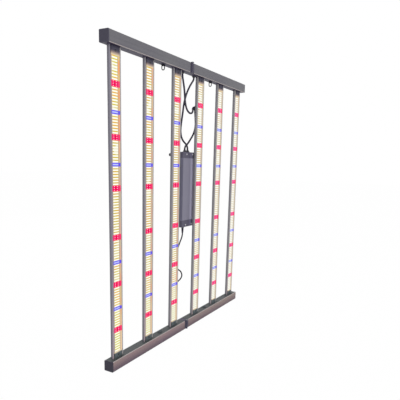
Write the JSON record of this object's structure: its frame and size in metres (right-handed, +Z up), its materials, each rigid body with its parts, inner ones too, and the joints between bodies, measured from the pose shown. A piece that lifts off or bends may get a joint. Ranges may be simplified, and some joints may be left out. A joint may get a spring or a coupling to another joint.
{
  "type": "led grow light",
  "caption": "Foldable LED grow light: finned light bars between two square rails, with hinge blocks at mid span, hanging rings, and a dimmable driver fed by a mains cord.",
  "frame": {"origin": "middle of the bottom rail, on the surface it stands on", "axes": "+X along the rails towards the driver's half, +Y from the lit side to the back, +Z up along the light bars"},
  "size_m": [1.08, 0.1209, 1.1751],
  "materials": {
    "rail_paint": "satin",
    "cap_plastic": "matte",
    "joint_black": "satin",
    "bracket_black": "matte",
    "screw_steel": "satin",
    "bar_aluminium": "anodised",
    "board_white": "gloss",
    "ring_steel": "satin",
    "driver_aluminium": "satin",
    "driver_plate": "satin",
    "potting": "matte",
    "gland_plastic": "satin",
    "shaft_brass": "satin",
    "cable_rubber": "matte",
    "tie_fabric": "matte"
  },
  "bodies": {
    "right_half": {"right_top_rail": "rail_paint", "right_bottom_rail": "rail_paint", "right_top_end_cap": "cap_plastic", "right_bottom_end_cap": "cap_plastic", "right_top_joint_leaf": "joint_black", "right_bottom_joint_leaf": "joint_black", "joint_pins": "joint_black", "right_top_bar_brackets": "bracket_black", "right_bottom_bar_brackets": "bracket_black", "right_bracket_screws": "screw_steel", "right_ring_clips": "ring_steel", "light_bar_4": "bar_aluminium", "light_bar_5": "bar_aluminium", "light_bar_6": "bar_aluminium", "led_boards_4": "board_white", "led_boards_5": "board_white", "led_boards_6": "board_white", "right_rail_grommet": "cable_rubber", "driver_case": "driver_aluminium", "driver_top_cover": "driver_aluminium", "driver_bottom_cover": "driver_aluminium", "driver_front_plate": "driver_plate", "driver_cover_screws": "screw_steel", "driver_circuit_block": "potting", "driver_straps": "driver_aluminium", "strap_screws": "screw_steel", "dimmer_bushing": "gland_plastic", "output_glands": "gland_plastic", "power_gland": "gland_plastic", "power_strain_relief": "cable_rubber", "left_output_cable": "cable_rubber", "right_output_cable": "cable_rubber", "cable_hook": "ring_steel", "power_cord": "cable_rubber", "cord_hank": "cable_rubber", "hank_tie": "tie_fabric", "mains_plug": "cable_rubber"},
    "left_half": {"left_top_rail": "rail_paint", "left_bottom_rail": "rail_paint", "left_top_end_cap": "cap_plastic", "left_bottom_end_cap": "cap_plastic", "left_top_joint_leaf": "joint_black", "left_bottom_joint_leaf": "joint_black", "left_top_bar_brackets": "bracket_black", "left_bottom_bar_brackets": "bracket_black", "left_bracket_screws": "screw_steel", "left_ring_clips": "ring_steel", "light_bar_1": "bar_aluminium", "light_bar_2": "bar_aluminium", "light_bar_3": "bar_aluminium", "led_boards_1": "board_white", "led_boards_2": "board_white", "led_boards_3": "board_white", "left_rail_grommet": "cable_rubber"},
    "dimmer": {"dimmer_shaft": "shaft_brass", "dimmer_knob": "gland_plastic"},
    "left_top_ring": {"left_top_hanging_ring": "ring_steel"},
    "left_bottom_ring": {"left_bottom_hanging_ring": "ring_steel"},
    "right_top_ring": {"right_top_hanging_ring": "ring_steel"},
    "right_bottom_ring": {"right_bottom_hanging_ring": "ring_steel"}
  },
  "joints": [
    {"name": "fold", "type": "hinge", "parent": "right_half", "child": "left_half", "pos_m": [-0.013, -0.0205, 0.586], "axis": [0, 0, 1], "range_deg": [0, 180]},
    {"name": "dimmer_turn", "type": "hinge", "parent": "right_half", "child": "dimmer", "pos_m": [-0.003, 0.08, 0.796], "axis": [0, -1, 0], "range_deg": [0, 300]},
    {"name": "left_top_ring_swing", "type": "hinge", "parent": "left_half", "child": "left_top_ring", "pos_m": [-0.195, 0.004, 1.1285], "axis": [0, 1, 0], "range_deg": [-86, 86]},
    {"name": "left_bottom_ring_swing", "type": "hinge", "parent": "left_half", "child": "left_bottom_ring", "pos_m": [-0.195, 0.004, 0.0435], "axis": [0, 1, 0], "range_deg": [0, 187]},
    {"name": "right_top_ring_swing", "type": "hinge", "parent": "right_half", "child": "right_top_ring", "pos_m": [0.195, 0.004, 1.1285], "axis": [0, 1, 0], "range_deg": [-86, 86]},
    {"name": "right_bottom_ring_swing", "type": "hinge", "parent": "right_half", "child": "right_bottom_ring", "pos_m": [0.195, 0.004, 0.0435], "axis": [0, 1, 0], "range_deg": [-187, 0]}
  ]
}
